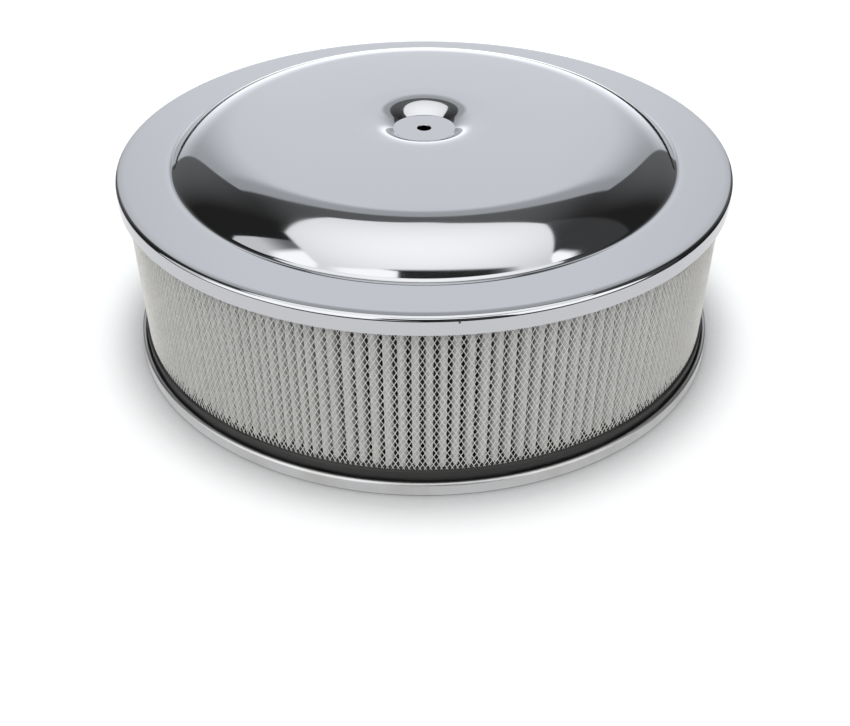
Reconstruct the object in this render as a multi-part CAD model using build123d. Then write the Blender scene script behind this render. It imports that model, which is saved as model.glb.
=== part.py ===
from build123d import *
import math
import os

# Round air cleaner of a carburetor, in millimetres.
# The origin is on the ground at the centre of the base pan's rim, and +Z is the axis of the lid, the element and
# the rim. The neck that goes over the carburetor lies off that axis, towards +Y.

# Sheet of the lid and of the base pan
gauge = 0.9

# Lid
lid_overhang = 2.8
flange_depth = 10.4
flange_bend = 2.4
flat_ring_width = 33.1
foot_fillet = 13.0
wall_angle = 41.0
wall_length = 3.15
shoulder_radius = 45.0
crown_height = 18.5
recess_depth = 6.5
recess_floor_radius = 17.7
recess_fillet = 0.8
recess_angle = 33.5
stud_diameter = 7.94
stud_clearance = 0.38

# Base pan
rim_height = 7.6
rim_fold = 1.6
seat_height = 4.0
seat_fillet = 1.2
step_height = 25.4
step_angle = 76.0
step_fillet = 3.0
step_bend = 6.0
neck_to_step = 26.08
neck_depth = 16.0
neck_bend = 4.0
carburetor_neck_diameter = 130.2
neck_clearance = 0.2

# Rubber ring on the neck
gasket_foot = 2.4
gasket_leg_height = 5.0
gasket_leg = 2.0
gasket_clearance = 0.1

# Filter element
element_radius = 175.0
element_width = 22.6
element_height = 106.4
rim_clearance = 0.3
step_clearance = 1.5
seal_height = 10.0
seal_floor = 3.0
seal_lip = 1.4
seal_round = 0.6
screen_gauge = 0.5
screen_clearance = 0.15

# Pleats
pleat_count = 160
paper = 0.8
outer_fold = 1.7
inner_fold = 1.3
pleat_clearance = 0.25

# Diamond gaps of the two screens
gap_columns = 22
gap_rows = 3
inner_gap_columns = 8
inner_gap_rows = 1
gap_rib = 2.4
gap_margin = 1.5

# Places that follow from the sizes above
stud_hole_radius = stud_diameter / 2 + stud_clearance
neck_radius = carburetor_neck_diameter / 2 + neck_clearance
element_inner_radius = element_radius - element_width
lid_radius = element_radius + lid_overhang
flat_ring_foot = lid_radius - flat_ring_width
rim_inner_radius = element_radius + rim_clearance
outer_screen_radius = element_radius - seal_lip - screen_clearance
inner_screen_radius = element_inner_radius + seal_lip + screen_clearance + screen_gauge
pleat_outer_radius = outer_screen_radius - screen_gauge - pleat_clearance
pleat_inner_radius = inner_screen_radius + pleat_clearance
step_foot_radius = element_inner_radius - step_clearance
floor_height = seat_height + step_height
step_reach = step_height / math.tan(math.radians(step_angle)) + step_bend * math.tan(math.radians(step_angle / 2))
floor_flat_radius = step_foot_radius - step_reach
neck_offset = floor_flat_radius - neck_to_step - neck_bend - neck_radius
neck_bottom = floor_height - neck_depth
element_top = seat_height + element_height
flat_ring_height = element_top + gauge
pleat_bottom = seat_height + seal_floor
pleat_height = element_height - 2 * seal_floor


def sine(angle):
    return math.sin(math.radians(angle))


def cosine(angle):
    return math.cos(math.radians(angle))


def half_tangent(angle):
    """Distance from a corner to the start of its arc, for a radius of one."""
    return math.tan(math.radians(angle / 2))


def follow(start, heading, runs):
    """A smooth path of straight runs, each a length, and of arcs, each a radius and a turn (left is positive)."""
    edges = []
    place = Vector(*start)
    way = Vector(cosine(heading), sine(heading))
    for run in runs:
        if isinstance(run, tuple):
            edge = JernArc(place, way, *run)
        else:
            edge = Line(place, place + way * run)
        edges.append(edge)
        place = edge @ 1
        way = edge % 1
    return edges


def pressed_section(start, heading, runs):
    """Section of the pressed sheet: the path of its upper side, and the same path one gauge to the right."""
    right = Vector(sine(heading), -cosine(heading)) * gauge
    lower_runs = []
    for run in runs:
        if isinstance(run, tuple):
            radius, turn = run
            lower_runs.append((radius + math.copysign(gauge, turn), turn))
        else:
            lower_runs.append(run)
    upper = follow(start, heading, runs)
    lower = follow(Vector(*start) + right, heading, lower_runs)
    ends = [Line(upper[0] @ 0, lower[0] @ 0), Line(upper[-1] @ 1, lower[-1] @ 1)]
    return make_face(upper + lower + ends)


def turned(section):
    """A section drawn in radius and height, turned round the Z axis."""
    return revolve(Plane.XZ * section, Axis.Z)


def ring(inner, outer, bottom, height):
    """Section of a plain ring, in radius and height."""
    return Pos(inner, bottom) * Rectangle(outer - inner, height, align=(Align.MIN, Align.MIN))


def make_lid():
    """One sheet: hole, recess, lip, crown, shoulder, wall, flat ring and flange, from the axis outwards."""
    # The lip falls in one arc from the crown to the fillet of the recess's floor.
    recess_arcs = recess_depth / (1 - cosine(recess_angle))
    recess_lip = recess_arcs - recess_fillet
    lip_radius = recess_floor_radius + recess_arcs * sine(recess_angle)
    # The crown's one arc closes what is left between the lip and the shoulder, both across and in height.
    foot_tangent = foot_fillet * half_tangent(wall_angle)
    slope = wall_length + foot_tangent
    shoulder_foot = flat_ring_foot - slope * cosine(wall_angle)
    crown_reach = shoulder_foot - shoulder_radius * sine(wall_angle) - lip_radius
    crown_rise = crown_height - slope * sine(wall_angle) - shoulder_radius * (1 - cosine(wall_angle))
    crown_turn = 2 * math.degrees(math.atan2(crown_rise, crown_reach))
    crown_radius = shoulder_radius + crown_reach / sine(crown_turn)
    flat_ring = lid_radius - flange_bend - flat_ring_foot - foot_tangent
    recess_floor_height = flat_ring_height + crown_height - recess_depth
    section = pressed_section((stud_hole_radius, recess_floor_height), 0, [
        recess_floor_radius - stud_hole_radius,
        (recess_fillet, recess_angle),
        (recess_lip, -recess_angle),
        (crown_radius, -crown_turn),
        (shoulder_radius, crown_turn - wall_angle),
        wall_length,
        (foot_fillet, wall_angle),
        flat_ring,
        (flange_bend, -90),
        flange_depth - flange_bend,
    ])
    return turned(section)


def make_base_pan():
    """One sheet: raised floor, step, seat and folded rim, and the neck turned down round the carburetor's."""
    bend_tangent = step_bend * half_tangent(step_angle)
    fillet_tangent = step_fillet * half_tangent(step_angle)
    step_run = step_height / sine(step_angle) - bend_tangent - fillet_tangent
    section = pressed_section((0, floor_height), 0, [
        floor_flat_radius,
        (step_bend, -step_angle),
        step_run,
        (step_fillet, step_angle),
        rim_inner_radius - seat_fillet - step_foot_radius - fillet_tangent,
        (seat_fillet, 90),
        rim_height - seat_height - seat_fillet - rim_fold,
        (rim_fold, -180),
        rim_height - rim_fold,
    ])
    pan = turned(section)
    neck_place = Pos(0, neck_offset)
    neck = turned(pressed_section((neck_radius, neck_bottom), 90, [
        neck_depth - neck_bend,
        (neck_bend, -90),
    ]))
    opening = extrude(Pos(0, neck_offset, floor_height) * Circle(neck_radius + neck_bend), 2 * gauge, both=True)
    return pan - opening + neck_place * neck


def make_neck_gasket():
    """Rubber ring: its foot lies under the neck's edge and its leg grips the outside of the neck."""
    leg_inner = neck_radius + gauge + gasket_clearance
    leg_outer = leg_inner + gasket_leg
    foot = ring(neck_radius, leg_outer, neck_bottom - gasket_foot, gasket_foot)
    leg = ring(leg_inner, leg_outer, neck_bottom - gasket_foot, gasket_foot + gasket_leg_height)
    return Pos(0, neck_offset) * turned(foot + leg)


def make_bottom_seal():
    """Moulded ring with a channel, in which the pleats and both screens stand."""
    block = ring(element_inner_radius, element_radius, seat_height, seal_height)
    block = fillet(block.vertices().sort_by(Axis.Y)[:2], seat_fillet)
    block = fillet(block.vertices().sort_by(Axis.Y)[-2:], seal_round)
    channel = ring(element_inner_radius + seal_lip, element_radius - seal_lip, pleat_bottom, seal_height)
    return turned(block - channel)


def make_top_seal(bottom_seal):
    """The bottom ring turned over, on the upper ends of the pleats."""
    middle = Plane.XY.offset(seat_height + element_height / 2)
    return mirror(bottom_seal, about=middle)


def pleat_skin(side):
    """Outline of one face of the folded paper: side is 1 for the outer face and -1 for the inner one."""
    corners = []
    for pleat in range(pleat_count):
        crest = (pleat_outer_radius - paper / 2, outer_fold / 2 + side * paper / 2, pleat)
        valley = (pleat_inner_radius + paper / 2, inner_fold / 2 - side * paper / 2, pleat + 0.5)
        for middle_radius, half_width, place in (crest, valley):
            radius = middle_radius + side * paper / 2
            half_fold = math.degrees(half_width / radius)
            for angle in (360 * place / pleat_count - half_fold, 360 * place / pleat_count + half_fold):
                corners.append((radius * cosine(angle), radius * sine(angle)))
    return Polyline(*corners, close=True)


def make_pleated_media():
    """One strip of paper folded in and out, with flat folds, and closed into a ring."""
    strip = make_face(pleat_skin(1)) - make_face(pleat_skin(-1))
    return extrude(Pos(0, 0, pleat_bottom) * strip, pleat_height)


def make_screen(radius, columns, rows):
    """A sleeve of screen with staggered diamond gaps and crossing ribs between them."""
    sleeve = turned(ring(radius - screen_gauge, radius, pleat_bottom, pleat_height))
    open_height = element_height - 2 * seal_height - 2 * gap_margin
    row_step = open_height / (rows + 1)
    column_width = 2 * math.pi * radius / columns
    slope = math.atan2(2 * row_step, column_width)
    half_width = column_width / 2 - gap_rib / 2 / math.sin(slope)
    half_height = row_step - gap_rib / 2 / math.cos(slope)
    diamond = make_face(Polyline((half_width, 0), (0, half_height), (-half_width, 0), (0, -half_height), close=True))
    cutter = extrude(Plane.YZ.offset(radius - 2 * screen_gauge) * diamond, 3 * screen_gauge)
    cutters = []
    for row in range(rows):
        height = seat_height + seal_height + gap_margin + row_step * (row + 1)
        for column in range(columns):
            turn = 360 * (column + row % 2 / 2) / columns
            cutters.append(Pos(0, 0, height) * Rot(0, 0, turn) * cutter)
    return sleeve - cutters


bottom_seal = make_bottom_seal()
nodes = {
    "lid": make_lid(),
    "base_pan": make_base_pan(),
    "neck_gasket": make_neck_gasket(),
    "bottom_seal": bottom_seal,
    "top_seal": make_top_seal(bottom_seal),
    "pleated_media": make_pleated_media(),
    "outer_screen": make_screen(outer_screen_radius, gap_columns, gap_rows),
    "inner_screen": make_screen(inner_screen_radius, inner_gap_columns, inner_gap_rows),
}

os.makedirs("parts", exist_ok=True)
for name, shape in nodes.items():
    export_step(shape, f"parts/{name}.step")
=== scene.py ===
import math

import bpy
import numpy as np
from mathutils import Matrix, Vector, noise


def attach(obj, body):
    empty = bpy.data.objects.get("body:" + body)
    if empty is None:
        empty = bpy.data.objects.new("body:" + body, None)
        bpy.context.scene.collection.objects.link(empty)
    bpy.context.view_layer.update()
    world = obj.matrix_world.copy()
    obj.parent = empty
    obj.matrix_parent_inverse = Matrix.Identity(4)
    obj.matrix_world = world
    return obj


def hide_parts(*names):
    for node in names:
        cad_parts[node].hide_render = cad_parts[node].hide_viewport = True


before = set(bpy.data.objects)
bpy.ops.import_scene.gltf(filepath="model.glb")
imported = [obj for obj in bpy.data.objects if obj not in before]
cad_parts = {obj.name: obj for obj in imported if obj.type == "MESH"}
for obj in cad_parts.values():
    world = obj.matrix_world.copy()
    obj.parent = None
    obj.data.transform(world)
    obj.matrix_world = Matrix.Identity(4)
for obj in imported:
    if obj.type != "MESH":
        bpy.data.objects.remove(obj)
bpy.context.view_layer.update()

# Base pan
# One disc of plated sheet steel, pressed into a raised floor, a step and a seat for the element. Its edge is
# rolled over into the rim it stands on, and the carburetor's neck is drawn down through the floor, off the axis.
GAUGE = 0.0009
EDGE_ROUND = 0.35
RIM_INNER = 0.1753
RIM_HEIGHT = 0.0076
RIM_FOLD = 0.0016
SEAT_HEIGHT = 0.0040
SEAT_FILLET = 0.0012
STEP_FOOT = 0.1509
STEP_HEIGHT = 0.0254
STEP_ANGLE = math.radians(76)
STEP_FILLET = 0.003
STEP_BEND = 0.006
FLOOR_FLAT = 0.13988
NECK_OFFSET = 0.0445
NECK_RADIUS = 0.0653
NECK_DEPTH = 0.016
NECK_BEND = 0.004
PAN_SEGMENTS = 320
PAN_TURN_STEP = math.radians(9)
LONG_RUN = 0.03
BRIGHT_PLATE = (0.60, 0.605, 0.61, 1)
BROWNED_PLATE = (0.46, 0.44, 0.41, 1)
SCUFF_BROWN = (0.07, 0.05, 0.04, 1)
SCUFF = (-0.0847, -0.1499, 0.0070)
SCUFF_SIZE = 0.0016
SECOND_SCUFF = (-0.0800, -0.1541, 0.0070)
SECOND_SCUFF_SIZE = 0.0012
SCUFF_RAGGED = 0.8


def follow(start, heading, runs, turn_step):
    """A smooth path as (radius, height, heading), from straight runs and from arcs of a radius and a turn."""
    radius, height = start
    points = [(radius, height, heading)]
    for run in runs:
        if isinstance(run, tuple):
            arc, turn = run
            side = math.copysign(arc, turn)
            middle = (radius - side * math.sin(heading), height + side * math.cos(heading))
            count = max(2, math.ceil(abs(turn) / turn_step))
            for step in range(1, count + 1):
                now = heading + turn * step / count
                points.append((middle[0] + side * math.sin(now), middle[1] - side * math.cos(now), now))
            heading += turn
        else:
            count = 3 if run < LONG_RUN else 6
            for step in range(1, count + 1):
                along = run * step / count
                points.append((radius + along * math.cos(heading), height + along * math.sin(heading), heading))
        radius, height = points[-1][:2]
    return points


def in_scene(name, data):
    """A new object for a mesh or a camera, put in the scene."""
    made = bpy.data.objects.new(name, data)
    bpy.context.scene.collection.objects.link(made)
    return made


def ring_mesh(name, places, loops, segments):
    """A closed ring of quads over loops of places round the axis, with the last loop joined to the first."""
    here = np.arange(loops * segments).reshape(loops, segments)
    there = np.roll(here, -1, 0)
    quads = np.stack([here, there, np.roll(there, -1, 1), np.roll(here, -1, 1)], 2).reshape(-1, 4)
    mesh = bpy.data.meshes.new(name)
    mesh.from_pydata(places.tolist(), [], quads.tolist())
    mesh.shade_smooth()
    return mesh


def turned_sheet(name, path, centres, segments, under_step):
    """A pressed sheet: the path's upper side, the under side one gauge away, and a deburred edge at each end."""
    loops = []
    for (radius, height, heading), centre in zip(path, centres):
        loops.append((centre, radius, height, -math.sin(heading), math.cos(heading)))

    def edge(place, centre, ahead):
        radius, height, heading = place
        out, up = ahead * math.cos(heading), ahead * math.sin(heading)
        middle = (radius + GAUGE / 2 * math.sin(heading), height - GAUGE / 2 * math.cos(heading))
        return (centre, middle[0] + EDGE_ROUND * GAUGE * out, middle[1] + EDGE_ROUND * GAUGE * up, out, up)

    loops.append(edge(path[-1], centres[-1], 1))
    under = sorted(set(list(range(0, len(path), under_step)) + [len(path) - 1]), reverse=True)
    for place in under:
        radius, height, heading = path[place]
        loops.append((centres[place], radius + GAUGE * math.sin(heading), height - GAUGE * math.cos(heading),
                      math.sin(heading), -math.cos(heading)))
    loops.append(edge(path[0], centres[0], -1))

    centre, radius, height, out, up = (np.array(column)[:, None] for column in zip(*loops))
    turn = np.arange(segments)[None, :] * 2 * math.pi / segments + math.pi / 2
    places = np.stack([radius * np.cos(turn), centre + radius * np.sin(turn), height + 0 * turn], 2).reshape(-1, 3)
    normals = np.stack([out * np.cos(turn), out * np.sin(turn), up + 0 * turn], 2).reshape(-1, 3)
    mesh = ring_mesh(name, places, len(loops), segments)
    mesh.normals_split_custom_set_from_vertices(normals.tolist())
    return in_scene(name, mesh)


def node(tree, kind, inputs=(), **settings):
    """Adds a node with its settings. Each input gets a plain value or the output that feeds it."""
    made = tree.nodes.new(kind)
    for name, value in settings.items():
        setattr(made, name, value)
    for key, value in dict(inputs).items():
        if isinstance(value, bpy.types.NodeSocket):
            tree.links.new(value, made.inputs[key])
        else:
            made.inputs[key].default_value = value
    return made


def finish(name, **sockets):
    """A new material, with its node tree, its Principled shader and the piece's own coordinates."""
    material = bpy.data.materials.new(name)
    material.use_nodes = True
    tree = material.node_tree
    shader = tree.nodes["Principled BSDF"]
    for socket, value in sockets.items():
        shader.inputs[socket.replace("_", " ")].default_value = value
    return material, tree, shader, node(tree, "ShaderNodeTexCoord").outputs["Object"]


def maths(tree, operation, first, second=None, third=None, **settings):
    """The output of one maths node."""
    values = {key: value for key, value in enumerate((first, second, third)) if value is not None}
    return node(tree, "ShaderNodeMath", values, operation=operation, **settings).outputs[0]


def mixed(tree, factor, first, second):
    """Colour between the first and the second, by the factor."""
    mix = node(tree, "ShaderNodeMix", {0: factor, 6: first, 7: second}, data_type="RGBA")
    return mix.outputs[2]


def ranged(tree, value, low, high, to_low, to_high):
    """A value carried smoothly from one range to another, and held at its ends."""
    made = node(tree, "ShaderNodeMapRange", {0: value, 1: low, 2: high, 3: to_low, 4: to_high},
                interpolation_type="SMOOTHSTEP")
    return made.outputs[0]


def grain(tree, coordinates, scale, detail, roughness=0.5):
    """Uneven patches over a piece, finer with a larger scale."""
    inputs = {"Vector": coordinates, "Scale": scale, "Detail": detail, "Roughness": roughness}
    return node(tree, "ShaderNodeTexNoise", inputs).outputs[0]


def from_axis(tree, coordinates):
    """How far a place is from the Z axis, and its own three coordinates."""
    place = node(tree, "ShaderNodeSeparateXYZ", {0: coordinates}).outputs
    flat = node(tree, "ShaderNodeCombineXYZ", {0: place[0], 1: place[1]}).outputs[0]
    return node(tree, "ShaderNodeVectorMath", {0: flat}, operation="LENGTH").outputs["Value"], place


def turning_marks(tree, coordinates, fineness):
    """Fine rings round the axis, as a polishing wheel leaves them, that wander slowly on their way round."""
    away, place = from_axis(tree, coordinates)
    rings = maths(tree, "MULTIPLY", away, fineness)
    rises = maths(tree, "MULTIPLY", place[2], fineness)
    fine = node(tree, "ShaderNodeCombineXYZ", {0: rings, 1: rises}).outputs[0]
    slow = node(tree, "ShaderNodeVectorMath", {0: coordinates, 1: (6, 6, 0)}, operation="MULTIPLY").outputs[0]
    where = node(tree, "ShaderNodeVectorMath", {0: fine, 1: slow}, operation="ADD").outputs[0]
    return grain(tree, where, 1.0, 3.0, 0.6)


def spot(tree, coordinates, place, size, ragged):
    """A mask that is 1 near a place on the piece and falls to 0 at about its size, with an uneven edge."""
    warp = grain(tree, coordinates, 900.0, 2.0)
    away = node(tree, "ShaderNodeVectorMath", {0: coordinates, 1: place}, operation="DISTANCE").outputs["Value"]
    pushed = maths(tree, "MULTIPLY_ADD", warp, ragged * size, away)
    return ranged(tree, pushed, size * (0.6 + ragged / 2), size * (1.1 + ragged / 2), 1.0, 0.0)


def bumped(tree, shader, height, strength, depth):
    """Gives a finish its fine relief."""
    bump = node(tree, "ShaderNodeBump", {"Height": height, "Strength": strength, "Distance": depth})
    tree.links.new(bump.outputs[0], shader.inputs["Normal"])


plated_steel, tree, shader, where = finish("plated_steel", Metallic=1.0)
handling = grain(tree, where, 38.0, 4.0)
tarnish = ranged(tree, handling, 0.45, 0.75, 0.0, 0.4)
colour = mixed(tree, tarnish, BRIGHT_PLATE, BROWNED_PLATE)
scuff = spot(tree, where, SCUFF, SCUFF_SIZE, SCUFF_RAGGED)
second_scuff = spot(tree, where, SECOND_SCUFF, SECOND_SCUFF_SIZE, SCUFF_RAGGED)
colour = mixed(tree, maths(tree, "MAXIMUM", scuff, second_scuff), colour, SCUFF_BROWN)
tree.links.new(colour, shader.inputs["Base Color"])
marks = turning_marks(tree, where, 2600.0)
roughness = maths(tree, "MULTIPLY_ADD", marks, 0.08, ranged(tree, handling, 0.3, 0.8, 0.24, 0.36))
tree.links.new(roughness, shader.inputs["Roughness"])
bumped(tree, shader, marks, 0.12, 0.00002)

neck_path = follow((NECK_RADIUS, SEAT_HEIGHT + STEP_HEIGHT - NECK_DEPTH), math.radians(90), [
    NECK_DEPTH - NECK_BEND,
    (NECK_BEND, -math.radians(90)),
], PAN_TURN_STEP)
bend_tangent = STEP_BEND * math.tan(STEP_ANGLE / 2)
fillet_tangent = STEP_FILLET * math.tan(STEP_ANGLE / 2)
pan_path = follow((FLOOR_FLAT, SEAT_HEIGHT + STEP_HEIGHT), 0.0, [
    (STEP_BEND, -STEP_ANGLE),
    STEP_HEIGHT / math.sin(STEP_ANGLE) - bend_tangent - fillet_tangent,
    (STEP_FILLET, STEP_ANGLE),
    RIM_INNER - SEAT_FILLET - STEP_FOOT - fillet_tangent,
    (SEAT_FILLET, math.radians(90)),
    RIM_HEIGHT - SEAT_HEIGHT - SEAT_FILLET - RIM_FOLD,
    (RIM_FOLD, -math.radians(180)),
    RIM_HEIGHT - RIM_FOLD - EDGE_ROUND * GAUGE,
], PAN_TURN_STEP)
centres = [NECK_OFFSET] * len(neck_path) + [0.0] * len(pan_path)
base_pan = turned_sheet("pressed_base_pan", neck_path + pan_path, centres, PAN_SEGMENTS, under_step=1)
base_pan.data.materials.append(plated_steel)
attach(base_pan, "root")
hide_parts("base_pan")

# Neck gasket
# A moulded rubber ring under the neck's edge that seals on the carburetor. It hides under the pan, so the packed
# solid stays and only takes the rubber's finish.
RUBBER_BLACK = (0.012, 0.012, 0.011, 1)
RUBBER_GREY = (0.025, 0.024, 0.023, 1)

moulded_rubber, tree, shader, where = finish("moulded_rubber")
cloudy = grain(tree, where, 60.0, 3.0)
colour = mixed(tree, ranged(tree, cloudy, 0.3, 0.7, 0.0, 1.0), RUBBER_BLACK, RUBBER_GREY)
tree.links.new(colour, shader.inputs["Base Color"])
tree.links.new(ranged(tree, cloudy, 0.3, 0.7, 0.38, 0.6), shader.inputs["Roughness"])
bumped(tree, shader, grain(tree, where, 1400.0, 3.0), 0.35, 0.00008)
neck_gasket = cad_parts["neck_gasket"]
neck_gasket.data.materials.clear()
neck_gasket.data.materials.append(moulded_rubber)

# Bottom seal
# Poured black urethane that the lower ends of pleats and screens are cast into. Its outer wall is smooth from the
# mould, and its top, where it crept up between the pleats and through the wire, is ragged.
ELEMENT_INNER = 0.1524
ELEMENT_OUTER = 0.1750
ELEMENT_BOTTOM = 0.0040
ELEMENT_TOP = 0.1099
SEAL_HEIGHT = 0.0100
SEAL_SEGMENTS = 1500
FINE_CREEP = 190
COARSE_CREEP = 40


def cast_ring(name, outline, turned_over, seed):
    """A closed ring from an outline of (radius, height above its outer face, how far it creeps up there)."""
    turn = np.arange(SEAL_SEGMENTS) * 2 * math.pi / SEAL_SEGMENTS + math.pi / 2
    creep = []
    for angle in turn:
        x, y = math.cos(angle), math.sin(angle)
        fine = noise.noise(Vector((x * FINE_CREEP + seed, y * FINE_CREEP, 3.1)))
        coarse = noise.noise(Vector((x * COARSE_CREEP + seed, y * COARSE_CREEP, 7.7)))
        creep.append(0.5 + 0.45 * fine + 0.35 * coarse)
    creep = np.clip(np.array(creep), 0.0, 1.2)
    rows = []
    for radius, height, reach in outline:
        up = height + reach * creep
        level = ELEMENT_TOP - up if turned_over else ELEMENT_BOTTOM + up
        rows.append(np.stack([radius * np.cos(turn), radius * np.sin(turn), level], 1))
    if turned_over:
        rows.reverse()
    mesh = ring_mesh(name, np.concatenate(rows), len(rows), SEAL_SEGMENTS)
    mesh.set_sharp_from_angle(angle=math.radians(50))
    return in_scene(name, mesh)


seal_outline = [
    (ELEMENT_INNER, 0.0019, 0.0),
    (ELEMENT_INNER, SEAL_HEIGHT - 0.0008, 0.0),
    (ELEMENT_INNER + 0.0006, SEAL_HEIGHT, 0.0003),
    (ELEMENT_INNER + 0.0017, SEAL_HEIGHT + 0.0002, 0.0010),
    (ELEMENT_INNER + 0.0024, SEAL_HEIGHT + 0.0006, 0.0024),
    (ELEMENT_INNER + 0.0076, SEAL_HEIGHT + 0.0010, 0.0030),
    (ELEMENT_OUTER - 0.0060, SEAL_HEIGHT + 0.0010, 0.0030),
    (ELEMENT_OUTER - 0.0040, SEAL_HEIGHT + 0.0004, 0.0030),
    (ELEMENT_OUTER - 0.0030, SEAL_HEIGHT - 0.0002, 0.0022),
    (ELEMENT_OUTER - 0.0023, SEAL_HEIGHT - 0.0008, 0.0012),
    (ELEMENT_OUTER - 0.0015, SEAL_HEIGHT - 0.0010, 0.0006),
    (ELEMENT_OUTER - 0.0008, SEAL_HEIGHT - 0.0011, 0.0003),
    (ELEMENT_OUTER - 0.0003, SEAL_HEIGHT - 0.0014, 0.0001),
    (ELEMENT_OUTER, SEAL_HEIGHT - 0.0020, 0.0),
    (ELEMENT_OUTER, 0.0012, 0.0),
    (ELEMENT_OUTER - 0.0004, 0.0003, 0.0),
    (ELEMENT_OUTER - 0.0012, 0.0, 0.0),
    (ELEMENT_INNER + 0.0090, 0.0, 0.0),
    (ELEMENT_INNER + 0.0012, 0.0008, 0.0),
    (ELEMENT_INNER + 0.0004, 0.0011, 0.0),
]
bottom_seal = cast_ring("cast_bottom_seal", seal_outline, False, 0.0)
bottom_seal.data.materials.append(moulded_rubber)
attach(bottom_seal, "root")
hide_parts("bottom_seal")

# Pleated media
# One strip of grey-white fibre paper, folded in and out, stood on edge and closed into a ring at a seam. The
# folds are soft, and some pleats beside the seam stand closer together than the rest.
PLEATS = 160
PLEAT_STEPS = 16
PLEAT_OUTER = 0.1723
PLEAT_INNER = 0.1552
PAPER = 0.0007
PLEAT_BOTTOM = 0.0075
PLEAT_TOP = 0.1066
SEAM = math.radians(-134.5)
FOLD_BREADTH = 0.9
OUTER_SHARE = 0.08
WANDER_PACE = 0.9
DEPTH_PACE = 1.7
DEPTH_SPREAD = 0.0012
UNEVEN = 0.0014
TIGHT = 0.0206
CROWD_START = 0.006
CROWD_END = 0.094
CLOSING = 40.0
PAPER_DARK = (0.60, 0.61, 0.60, 1)
PAPER_PALE = (0.76, 0.77, 0.76, 1)
FIBRE_WHITE = (0.85, 0.85, 0.84, 1)


def geometry_tree(name, sockets):
    """A new geometry node tree with a named input for each size, and its group input and output nodes."""
    made = bpy.data.node_groups.new(name, "GeometryNodeTree")
    made.interface.new_socket("Geometry", in_out="INPUT", socket_type="NodeSocketGeometry")
    made.interface.new_socket("Geometry", in_out="OUTPUT", socket_type="NodeSocketGeometry")
    for socket in sockets:
        kind = "NodeSocketInt" if isinstance(sockets[socket], int) else "NodeSocketFloat"
        made.interface.new_socket(socket, in_out="INPUT", socket_type=kind)
    return made, made.nodes.new("NodeGroupInput"), made.nodes.new("NodeGroupOutput")


def grown(name, made_tree, sockets):
    """Runs a geometry tree with its sizes on an empty mesh, and keeps the result as a plain piece."""
    seed_object = in_scene(name + "_tree", bpy.data.meshes.new(name + "_tree"))
    modifier = seed_object.modifiers.new(name, "NODES")
    modifier.node_group = made_tree
    for item in made_tree.interface.items_tree:
        if item.item_type == "SOCKET" and item.in_out == "INPUT" and item.name in sockets:
            modifier[item.identifier] = sockets[item.name]
    bpy.context.view_layer.update()
    depsgraph = bpy.context.evaluated_depsgraph_get()
    mesh = bpy.data.meshes.new_from_object(seed_object.evaluated_get(depsgraph))
    mesh.name = name
    bpy.data.objects.remove(seed_object)
    return in_scene(name, mesh)


def wandering(tree, along, pace):
    """A value that wanders slowly from pleat to pleat."""
    inputs = {"W": maths(tree, "MULTIPLY", along, pace), "Scale": 1.0, "Detail": 1.0}
    return node(tree, "ShaderNodeTexNoise", inputs, noise_dimensions="1D").outputs[0]


def dimmed(tree, colour, share):
    """A colour times a number."""
    return node(tree, "ShaderNodeVectorMath", {0: colour, "Scale": share}, operation="SCALE").outputs[0]


pleat_sizes = {"Pleats": PLEATS, "Steps": PLEAT_STEPS, "Outer": PLEAT_OUTER, "Inner": PLEAT_INNER,
               "Paper": PAPER, "Bottom": PLEAT_BOTTOM, "Top": PLEAT_TOP, "Seam": SEAM, "Tight": TIGHT, "Uneven": UNEVEN}
tree, sizes, result = geometry_tree("folded strip", pleat_sizes)
size = sizes.outputs
points = maths(tree, "MULTIPLY", size["Pleats"], size["Steps"])
circle = node(tree, "GeometryNodeMeshCircle", {"Vertices": points})
index = node(tree, "GeometryNodeInputIndex").outputs[0]
pleat = maths(tree, "DIVIDE", index, size["Steps"])
# The folds are broad, the outer ones more than the inner ones, and the walls between them are steep.
twice_a_pleat = maths(tree, "SINE", maths(tree, "MULTIPLY", pleat, 4 * math.pi))
once_a_pleat = maths(tree, "SINE", maths(tree, "MULTIPLY", pleat, 2 * math.pi))
broad = maths(tree, "MULTIPLY_ADD", twice_a_pleat, FOLD_BREADTH / (4 * math.pi), pleat)
gathered = maths(tree, "MULTIPLY_ADD", once_a_pleat, OUTER_SHARE / (2 * math.pi), broad)
wave = maths(tree, "COSINE", maths(tree, "MULTIPLY", pleat, 2 * math.pi))
soft_fold = maths(tree, "SINE", maths(tree, "MULTIPLY", wave, math.pi / 2))
wander = wandering(tree, gathered, WANDER_PACE)
depth = wandering(tree, gathered, DEPTH_PACE)
# The pleats just past the seam stand closer together, and the unevenness fades out where the strip closes.
share = maths(tree, "DIVIDE", gathered, size["Pleats"])
crowd = node(tree, "ShaderNodeMapRange", {0: share, 1: CROWD_START, 2: CROWD_END, 3: 0.0, 4: 1.0}).outputs[0]
even = maths(tree, "MULTIPLY_ADD", size["Tight"], share, share)
crowded = maths(tree, "SUBTRACT", even, maths(tree, "MULTIPLY", crowd, size["Tight"]))
jitter = maths(tree, "MULTIPLY", maths(tree, "SUBTRACT", wander, 0.5), size["Uneven"])
closing = maths(tree, "MULTIPLY", maths(tree, "SUBTRACT", 1.0, share), maths(tree, "MULTIPLY", share, CLOSING),
                use_clamp=True)
jitter = maths(tree, "MULTIPLY", jitter, closing)
angle = maths(tree, "MULTIPLY_ADD", maths(tree, "ADD", crowded, jitter), 2 * math.pi, size["Seam"])
middle = maths(tree, "MULTIPLY", maths(tree, "ADD", size["Outer"], size["Inner"]), 0.5)
swing = maths(tree, "MULTIPLY", maths(tree, "SUBTRACT", size["Outer"], size["Inner"]), 0.5)
shallow = maths(tree, "MULTIPLY_ADD", depth, -DEPTH_SPREAD, swing)
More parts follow.
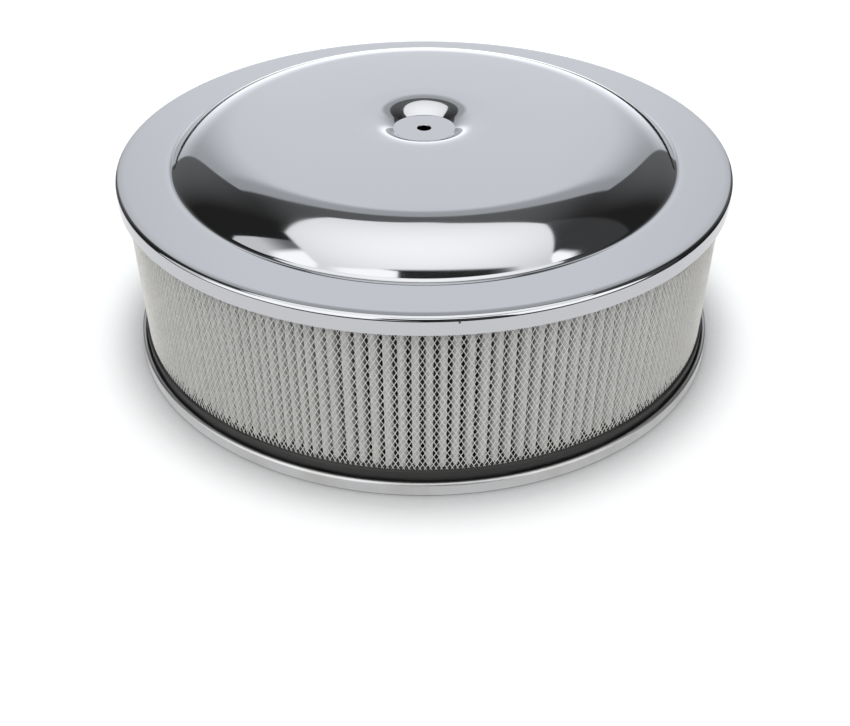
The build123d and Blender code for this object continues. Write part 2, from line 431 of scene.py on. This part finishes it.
radius = maths(tree, "MULTIPLY_ADD", soft_fold, shallow, middle)
level = maths(tree, "MULTIPLY", maths(tree, "ADD", size["Top"], size["Bottom"]), 0.5)
place = node(tree, "ShaderNodeCombineXYZ", {
    0: maths(tree, "MULTIPLY", radius, maths(tree, "COSINE", angle)),
    1: maths(tree, "MULTIPLY", radius, maths(tree, "SINE", angle)),
    2: level,
})
folded = node(tree, "GeometryNodeSetPosition", {"Geometry": circle.outputs[0], "Position": place.outputs[0]})
curve = node(tree, "GeometryNodeMeshToCurve", {0: folded.outputs[0]})
upright = node(tree, "GeometryNodeSetCurveNormal", {"Curve": curve.outputs[0]}, mode="Z_UP")
tall = maths(tree, "SUBTRACT", size["Top"], size["Bottom"])
strip_section = node(tree, "GeometryNodeCurvePrimitiveQuadrilateral", {"Width": size["Paper"], "Height": tall})
strip = node(tree, "GeometryNodeCurveToMesh",
             {"Curve": upright.outputs[0], "Profile Curve": strip_section.outputs[0]})
tree.links.new(strip.outputs[0], result.inputs[0])
pleated_media = grown("folded_media", tree, pleat_sizes)
pleated_media.data.shade_smooth()
pleated_media.data.set_sharp_from_angle(angle=math.radians(60))

fibre_paper, tree, shader, where = finish("fibre_paper", Roughness=0.95)
fibre = grain(tree, where, 2200.0, 4.0, 0.65)
mottle = grain(tree, where, 420.0, 3.0)
colour = mixed(tree, ranged(tree, mottle, 0.3, 0.7, 0.0, 1.0), PAPER_DARK, PAPER_PALE)
colour = mixed(tree, ranged(tree, fibre, 0.35, 0.65, 0.0, 0.35), colour, FIBRE_WHITE)
# Painted shade: the paper's colour is darkened towards the inner folds, where the deep valleys get little light.
away, place = from_axis(tree, where)
fold_painted_shade = dimmed(tree, colour, ranged(tree, away, 0.1600, 0.1715, 0.30, 1.0))
tree.links.new(fold_painted_shade, shader.inputs["Base Color"])
bumped(tree, shader, fibre, 0.5, 0.0001)
pleated_media.data.materials.clear()
pleated_media.data.materials.append(fibre_paper)
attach(pleated_media, "root")
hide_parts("pleated_media")

# Wire screens
# Fine bright wire woven slantwise into tall diamonds, one sleeve outside the pleats and one inside them. Every
# wire runs from the bottom seal to the top one and passes over and under those it crosses.
WIRE = 0.00040
WEAVE = WIRE * 0.45
DIAMOND_HEIGHT = 0.0051
SCREEN_BOTTOM = 0.0118
SCREEN_TOP = ELEMENT_TOP - 0.0085
WIRE_BRIGHT = (0.97, 0.96, 0.92, 1)
WIRE_DULL = (0.88, 0.87, 0.84, 1)

bright_wire, tree, shader, where = finish("bright_wire", Metallic=0.5)
dulled = grain(tree, where, 500.0, 2.0)
colour = mixed(tree, ranged(tree, dulled, 0.3, 0.7, 0.0, 1.0), WIRE_BRIGHT, WIRE_DULL)
tree.links.new(colour, shader.inputs["Base Color"])
tree.links.new(ranged(tree, dulled, 0.3, 0.7, 0.28, 0.45), shader.inputs["Roughness"])

screen_inputs = {"Radius": 0.0, "Wires": 1, "Crossings": 1, "Bottom": 0.0, "Rise": 0.0, "Wire": 0.0,
                 "Weave": 0.0, "Lean": 1.0, "Sides": 5}
tree, sizes, result = geometry_tree("woven screen", screen_inputs)
size = sizes.outputs
strand = node(tree, "GeometryNodeMeshLine", {"Count": maths(tree, "ADD", size["Crossings"], 1.0)})
crossing = node(tree, "GeometryNodeInputIndex").outputs[0]
half_pitch = maths(tree, "DIVIDE", maths(tree, "MULTIPLY", size["Lean"], math.pi), size["Wires"])
angle = maths(tree, "MULTIPLY", crossing, half_pitch)
under = maths(tree, "MULTIPLY_ADD", maths(tree, "MODULO", crossing, 2.0), -2.0, 1.0)
over = maths(tree, "MULTIPLY", under, size["Lean"])
radius = maths(tree, "MULTIPLY_ADD", over, size["Weave"], size["Radius"])
place = node(tree, "ShaderNodeCombineXYZ", {
    0: maths(tree, "MULTIPLY", radius, maths(tree, "COSINE", angle)),
    1: maths(tree, "MULTIPLY", radius, maths(tree, "SINE", angle)),
    2: maths(tree, "MULTIPLY_ADD", crossing, size["Rise"], size["Bottom"]),
})
laid = node(tree, "GeometryNodeSetPosition", {"Geometry": strand.outputs[0], "Position": place.outputs[0]})
line = node(tree, "GeometryNodeMeshToCurve", {0: laid.outputs[0]})
round_wire = node(tree, "GeometryNodeCurvePrimitiveCircle",
                  {"Resolution": size["Sides"], "Radius": maths(tree, "MULTIPLY", size["Wire"], 0.5)})
drawn = node(tree, "GeometryNodeCurveToMesh", {"Curve": line.outputs[0], "Profile Curve": round_wire.outputs[0],
                                               "Fill Caps": True})
smooth = node(tree, "GeometryNodeSetShadeSmooth", {0: drawn.outputs[0]})
starts = node(tree, "GeometryNodePoints", {"Count": size["Wires"]})
number = node(tree, "GeometryNodeInputIndex").outputs[0]
turned = maths(tree, "MULTIPLY", number, maths(tree, "DIVIDE", 2 * math.pi, size["Wires"]))
wires = node(tree, "GeometryNodeInstanceOnPoints", {
    "Points": starts.outputs[0], "Instance": smooth.outputs[0],
    "Rotation": node(tree, "ShaderNodeCombineXYZ", {2: turned}).outputs[0],
})
realized = node(tree, "GeometryNodeRealizeInstances", {0: wires.outputs[0]})
coloured = node(tree, "GeometryNodeSetMaterial", {"Geometry": realized.outputs[0], "Material": bright_wire})
tree.links.new(coloured.outputs[0], result.inputs[0])

# Each screen's node, its radius, its wires each way, how much taller its diamonds are, and the sides of a wire.
for stands_for, radius, wires, stretch, sides in (
    ("outer_screen", 0.1732, 391, 1.0, 5),
    ("inner_screen", 0.15423, 240, 1.45, 3),
):
    rise = DIAMOND_HEIGHT / 2 * stretch
    crossings = int((SCREEN_TOP - SCREEN_BOTTOM) / rise)
    for side, lean in (("rising", 1.0), ("falling", -1.0)):
        screen = grown(f"{stands_for}_{side}_wires", tree, {
            "Radius": radius, "Wires": wires, "Crossings": crossings, "Bottom": SCREEN_BOTTOM, "Rise": rise,
            "Wire": WIRE, "Weave": WEAVE, "Lean": lean, "Sides": sides,
        })
        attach(screen, "root")
        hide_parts(stands_for)

# Top seal
# The same black urethane casting, turned over on the upper ends of pleats and screens. The lid lies on it, and the
# lid's flange hides it from outside.
top_seal = cast_ring("cast_top_seal", seal_outline, True, 31.0)
top_seal.data.materials.append(moulded_rubber)
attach(top_seal, "root")
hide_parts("top_seal")

# Lid
# One disc of steel, stamped into a wide crown with a recess in its middle, a flat ring that lies on the element,
# and a flange turned down round it. It is polished and chromed all over, and one hole is punched through it.
LID_RADIUS = 0.1778
FLAT_RING = ELEMENT_TOP + GAUGE
FLANGE_DEPTH = 0.0099
FLANGE_BEND = 0.0024
EDGE_EASE = 0.040
EDGE_ANGLE = math.radians(5)
RING_FOOT = 0.1480
RING_SWEEP = 0.0250
RING_RISE = math.radians(6)
FOOT_FILLET = 0.0038
WALL_ANGLE = math.radians(44)
WALL = 0.0019
SHOULDER = 0.0525
EASE = 0.0690
EASE_ANGLE = math.radians(12.2)
CROWN_HEIGHT = 0.0190
RECESS_DEPTH = 0.0065
RECESS_FLOOR = 0.0177
RECESS_FILLET = 0.0008
RECESS_ANGLE = math.radians(33.5)
LIP_EASE = 0.0850
LIP_ANGLE = math.radians(9)
STUD_HOLE = 0.00435
LID_SEGMENTS = 384
LID_TURN_STEP = math.radians(2)
CHROME = (0.560, 0.569, 0.588, 1)
SPECK_BROWN = (0.10, 0.09, 0.08, 1)
SPECK = (0.0164, -0.1770, 0.1079)
SPECK_SIZE = 0.0007
SPECK_RAGGED = 0.5

# The recess's side, the crown and the flat ring's outer run close what the other sizes leave.
recess_arcs = RECESS_FILLET * (1 - math.cos(RECESS_ANGLE)) + LIP_EASE * (1 - math.cos(LIP_ANGLE))
recess_side = (RECESS_DEPTH - recess_arcs) / (math.cos(LIP_ANGLE) - math.cos(RECESS_ANGLE))
side_reach = recess_side * (math.sin(RECESS_ANGLE) - math.sin(LIP_ANGLE))
lip_radius = RECESS_FLOOR + RECESS_FILLET * math.sin(RECESS_ANGLE) + LIP_EASE * math.sin(LIP_ANGLE) + side_reach
shoulder_reach = SHOULDER * (math.sin(WALL_ANGLE) - math.sin(EASE_ANGLE))
ease_foot = RING_FOOT - FOOT_FILLET * math.sin(WALL_ANGLE) - WALL * math.cos(WALL_ANGLE) - shoulder_reach
ring_rise = (FOOT_FILLET + RING_SWEEP) * (1 - math.cos(RING_RISE))
foot_rise = FOOT_FILLET * (1 - math.cos(WALL_ANGLE)) - ring_rise
shoulder_drop = SHOULDER * (math.cos(EASE_ANGLE) - math.cos(WALL_ANGLE))
ease_drop = foot_rise + WALL * math.sin(WALL_ANGLE) + shoulder_drop
crown_reach = ease_foot - EASE * math.sin(EASE_ANGLE) - lip_radius
crown_rise = CROWN_HEIGHT - ease_drop - EASE * (1 - math.cos(EASE_ANGLE))
crown_turn = 2 * math.atan2(crown_rise, crown_reach)
crown = EASE + crown_reach / math.sin(crown_turn)
ring_foot_reach = (FOOT_FILLET + RING_SWEEP) * math.sin(RING_RISE)
edge_reach = FLANGE_BEND + (EDGE_EASE - FLANGE_BEND) * math.sin(EDGE_ANGLE)
edge_drop = (EDGE_EASE - FLANGE_BEND) * (1 - math.cos(EDGE_ANGLE)) + FLANGE_BEND
lid_path = follow((STUD_HOLE, FLAT_RING + CROWN_HEIGHT - RECESS_DEPTH), 0.0, [
    RECESS_FLOOR - STUD_HOLE,
    (RECESS_FILLET, RECESS_ANGLE),
    (recess_side, LIP_ANGLE - RECESS_ANGLE),
    (LIP_EASE, -LIP_ANGLE),
    (crown, -crown_turn),
    (EASE, crown_turn - EASE_ANGLE),
    (SHOULDER, EASE_ANGLE - WALL_ANGLE),
    WALL,
    (FOOT_FILLET, WALL_ANGLE + RING_RISE),
    (RING_SWEEP, -RING_RISE),
    LID_RADIUS - edge_reach - RING_FOOT - ring_foot_reach,
    (EDGE_EASE, -EDGE_ANGLE),
    (FLANGE_BEND, EDGE_ANGLE - math.radians(90)),
    FLANGE_DEPTH - edge_drop,
], LID_TURN_STEP)
lid = turned_sheet("stamped_lid", lid_path, [0.0] * len(lid_path), LID_SEGMENTS, under_step=3)

polished_chrome, tree, shader, where = finish("polished_chrome", Metallic=1.0)
marks = turning_marks(tree, where, 1500.0)
roughness = ranged(tree, grain(tree, where, 22.0, 3.0), 0.3, 0.75, 0.035, 0.075)
roughness = maths(tree, "MULTIPLY_ADD", marks, 0.02, roughness)
tree.links.new(roughness, shader.inputs["Roughness"])
colour = mixed(tree, spot(tree, where, SPECK, SPECK_SIZE, SPECK_RAGGED), CHROME, SPECK_BROWN)
tree.links.new(colour, shader.inputs["Base Color"])
bumped(tree, shader, marks, 0.02, 0.00001)
lid.data.materials.append(polished_chrome)
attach(lid, "root")
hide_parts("lid")

# Studio
# White paper lies under the object and rises behind it, a wide soft light hangs askew overhead, two more stand low
# at the camera's sides, and the rest is dark. The chrome shows all this. What is matt gets an even soft light.
FLOOR_REACH = 6.0
PAPER_GREY = (0.82, 0.82, 0.82, 1)
PAPER_WHITE = (1.36, 1.38, 1.385)
PAPER_GLOW = 1.08
TABLE_GLOW = 0.03
SHADOW_REACH = 0.035
SHADOW_POWER = 1.5
OVERHEAD_GLOW = 1.9
OVERHEAD_LOSS = 0.34
FRONT_GLOW = 1.65
ROOM_GLOW = 0.022
RIGHT_GLOW = 0.045
EVEN_LIGHT = 0.95
MORE_FROM_ABOVE = 0.25
MORE_FROM_FRONT = 0.20
SIDE_LOSS = 0.42
CAMERA_LOSS = 0.85
LIGHT_HUE = (1.0, 1.0, 1.005, 1)
BACKDROP_HUE = (0.975, 1.0, 1.04, 1)
CAMERA_LENS = 45.043
CAMERA_SENSOR = 36.0
CAMERA_PLACE = (0.00051, -0.57772, 0.38504)
CAMERA_DIP = 0.6431759

corners = [(-FLOOR_REACH, -FLOOR_REACH, 0), (FLOOR_REACH, -FLOOR_REACH, 0),
           (FLOOR_REACH, FLOOR_REACH, 0), (-FLOOR_REACH, FLOOR_REACH, 0)]
floor_mesh = bpy.data.meshes.new("paper_floor")
floor_mesh.from_pydata(corners, [], [(0, 1, 2, 3)])
paper_floor = in_scene("paper_floor", floor_mesh)
white_paper, tree, shader, where = finish("white_paper", Roughness=1.0)
shader.inputs["Specular IOR Level"].default_value = 0.0
place = node(tree, "ShaderNodeSeparateXYZ", {0: where}).outputs
paths = node(tree, "ShaderNodeLightPath").outputs
# In the chrome the paper ends before the camera and at the right, and grey table goes on at the left.
left_table = ranged(tree, place[0], -0.80, -0.70, 0.0, 1.0)
left_paper = ranged(tree, place[0], -0.52, -0.44, 0.62, 1.0)
right_edge = ranged(tree, place[0], 0.42, 0.48, 1.0, 0.0)
front_edge = ranged(tree, place[1], -0.40, -0.37, 0.0, 1.0)
side_fall = ranged(tree, maths(tree, "ABSOLUTE", place[0]), 0.15, 0.50, 1.55, 0.70)
towards_back = ranged(tree, place[1], 0.15, 0.45, 0.0, 1.0)
paper_glow = maths(tree, "MULTIPLY_ADD", towards_back, maths(tree, "SUBTRACT", side_fall, 1.0), 1.0)
on_paper = maths(tree, "MULTIPLY", maths(tree, "MULTIPLY", left_table, left_paper),
                 maths(tree, "MULTIPLY", right_edge, front_edge))
in_chrome = maths(tree, "MULTIPLY_ADD", maths(tree, "MULTIPLY", on_paper, paper_glow), PAPER_GLOW, TABLE_GLOW)
in_chrome = node(tree, "ShaderNodeCombineColor", {0: in_chrome, 1: in_chrome, 2: in_chrome}).outputs[0]
plain = mixed(tree, paths["Is Glossy Ray"], PAPER_GREY, in_chrome)
# The camera sees it white up to a painted shadow at the object's foot: its colour is darkened where the space close by
# is closed off.
near = node(tree, "ShaderNodeAmbientOcclusion", {"Distance": SHADOW_REACH}, samples=8).outputs["AO"]
white_with_painted_shadow = dimmed(tree, PAPER_WHITE, maths(tree, "POWER", near, SHADOW_POWER))
colour = mixed(tree, paths["Is Camera Ray"], plain, white_with_painted_shadow)
tree.links.new(colour, shader.inputs["Base Color"])
floor_mesh.materials.append(white_paper)

room = bpy.data.worlds.new("studio")
bpy.context.scene.world = room
room.use_nodes = True
tree = room.node_tree
level, way = from_axis(tree, node(tree, "ShaderNodeTexCoord").outputs["Generated"])
rise = maths(tree, "MAXIMUM", way[2], 0.001)
across = maths(tree, "DIVIDE", way[0], rise)
along = maths(tree, "DIVIDE", way[1], rise)
steep = maths(tree, "DIVIDE", way[2], maths(tree, "MAXIMUM", level, 0.001))
beside = maths(tree, "ABSOLUTE", way[0])
sideways = maths(tree, "DIVIDE", beside, maths(tree, "MAXIMUM", way[1], 0.001))


def inside(edge, softness):
    """1 where the value is above zero, with a soft edge."""
    return ranged(tree, edge, -softness, softness, 0.0, 1.0)


def product(*values):
    """All the values multiplied."""
    total = values[0]
    for value in values[1:]:
        total = maths(tree, "MULTIPLY", total, value)
    return total


def beyond(by_across, by_along, offset, softness=0.012):
    """1 on the inner side of a straight edge in the ceiling's plane, where across and along are the places."""
    from_along = maths(tree, "MULTIPLY_ADD", along, by_along, offset)
    return inside(maths(tree, "MULTIPLY_ADD", across, by_across, from_along), softness)


def laid_over(under, glow, mask):
    """The glow where the mask is 1, and what is under it elsewhere."""
    return maths(tree, "MULTIPLY_ADD", mask, maths(tree, "SUBTRACT", glow, under), under)


# Overhead light: a sheet of diffuser with its back edge at an angle, brightest straight above.
above = inside(way[2], 0.01)
overhead = product(above, beyond(1.0, -0.78, 0.816), beyond(1.0, -0.09, 0.678), beyond(0.26, -1.0, 0.77),
                   beyond(-0.82, -1.0, 0.78), beyond(-1.0, -0.575, 0.689), beyond(0.0, 1.0, 0.47, 0.03))
overhead_glow = maths(tree, "MULTIPLY_ADD", way[2], OVERHEAD_GLOW, -OVERHEAD_LOSS)
# Backdrop: the paper where it rises, glowing at its foot and darker at its sides and above.
behind = inside(way[1], 0.01)
left_side = inside(maths(tree, "MULTIPLY_ADD", way[1], 0.727, way[0]), 0.006)
leftwards = maths(tree, "MULTIPLY", way[0], -1.0)
right_side = maths(tree, "MULTIPLY_ADD", way[1], 0.649, maths(tree, "MULTIPLY_ADD", way[2], 0.09, leftwards))
backdrop = product(behind, left_side, inside(right_side, 0.006), beyond(0.0, 1.0, -1.0, 0.03))
foot_glow = ranged(tree, steep, 0.0, 0.29, 1.72, 0.98)
top_fall = ranged(tree, along, 1.20, 1.46, 0.55, 0.98)
side_fall = ranged(tree, sideways, 0.15, 0.70, 1.0, 0.42)
side_share = product(ranged(tree, along, 1.20, 1.46, 0.25, 1.0), ranged(tree, steep, 0.0, 0.35, 1.0, 0.78))
backdrop_glow = product(foot_glow, top_fall, laid_over(1.0, side_fall, side_share))
# Dark room: a little lighter beside the paper, above it and at the right, and a pale wall low at the left.
beside_paper = product(behind, ranged(tree, sideways, 0.6, 1.9, 0.145, 0.0),
                       ranged(tree, steep, 0.3, 1.1, 1.0, 0.2))
above_paper = product(behind, above, ranged(tree, maths(tree, "ABSOLUTE", across), 0.15, 0.70, 0.11, 0.0))
at_right = product(above, beyond(0.0, -1.0, 0.46, 0.03), beyond(1.0, 0.0, -0.45, 0.05))
left_wall = product(above, beyond(-0.185, -1.0, -0.08), beyond(-1.0, 0.0, -0.68, 0.04))
wall_glow = ranged(tree, across, -1.15, -0.70, 0.9, 0.2)
dark = maths(tree, "ADD", maths(tree, "MULTIPLY_ADD", at_right, RIGHT_GLOW, ROOM_GLOW),
             maths(tree, "ADD", beside_paper, above_paper))
# Front light: low at both sides of the camera, more so at the left, and only high above the camera.
frontal = maths(tree, "MULTIPLY", way[1], -1.0)
from_middle = maths(tree, "DIVIDE", way[0], maths(tree, "MAXIMUM", frontal, 0.001))
middle = product(ranged(tree, from_middle, -0.32, -0.26, 0.0, 1.0),
                 ranged(tree, from_middle, 0.50, 0.62, 1.0, 0.0))
lowest = maths(tree, "MULTIPLY_ADD", middle, 0.68, 0.10)
highest = maths(tree, "ADD", ranged(tree, from_middle, -0.32, -0.26, 1.90, 1.50),
                ranged(tree, from_middle, 0.1, 0.4, 0.0, -0.3))
front_light = product(inside(maths(tree, "MULTIPLY_ADD", level, -0.17, frontal), 0.04),
                      inside(maths(tree, "SUBTRACT", steep, lowest), 0.05),
                      inside(maths(tree, "SUBTRACT", highest, steep), 0.05))

seen = laid_over(dark, wall_glow, left_wall)
seen = laid_over(seen, FRONT_GLOW, front_light)
seen = laid_over(seen, backdrop_glow, backdrop)
seen = laid_over(seen, overhead_glow, overhead)
paths = node(tree, "ShaderNodeLightPath").outputs
# What is matt is lit evenly, a little more from above and in front, and less from the sides and from the camera.
even = maths(tree, "MULTIPLY_ADD", way[1], -MORE_FROM_FRONT, EVEN_LIGHT)
even = maths(tree, "MULTIPLY_ADD", way[2], MORE_FROM_ABOVE, even)
even = maths(tree, "MULTIPLY_ADD", beside, -SIDE_LOSS, even)
from_camera = product(ranged(tree, maths(tree, "ABSOLUTE", from_middle), 0.3, 0.7, 1.0, 0.0),
                      ranged(tree, steep, 0.5, 0.9, 1.0, 0.0), inside(frontal, 0.05))
even = maths(tree, "MULTIPLY", even, maths(tree, "MULTIPLY_ADD", from_camera, -CAMERA_LOSS, 1.0))
light = laid_over(even, seen, paths["Is Glossy Ray"])
shown = laid_over(light, 1.0, paths["Is Camera Ray"])
hue = mixed(tree, backdrop, LIGHT_HUE, BACKDROP_HUE)
tree.links.new(dimmed(tree, hue, shown), tree.nodes["Background"].inputs["Color"])

camera_data = bpy.data.cameras.new("camera")
camera_data.lens = CAMERA_LENS
camera_data.sensor_width = CAMERA_SENSOR
camera_data.sensor_fit = "HORIZONTAL"
camera_data.clip_start = 0.05
camera = in_scene("camera", camera_data)
camera.location = CAMERA_PLACE
camera.rotation_euler = (math.radians(90) - CAMERA_DIP, 0.0, 0.0)
bpy.context.scene.camera = camera
bpy.context.scene.view_settings.view_transform = "Standard"
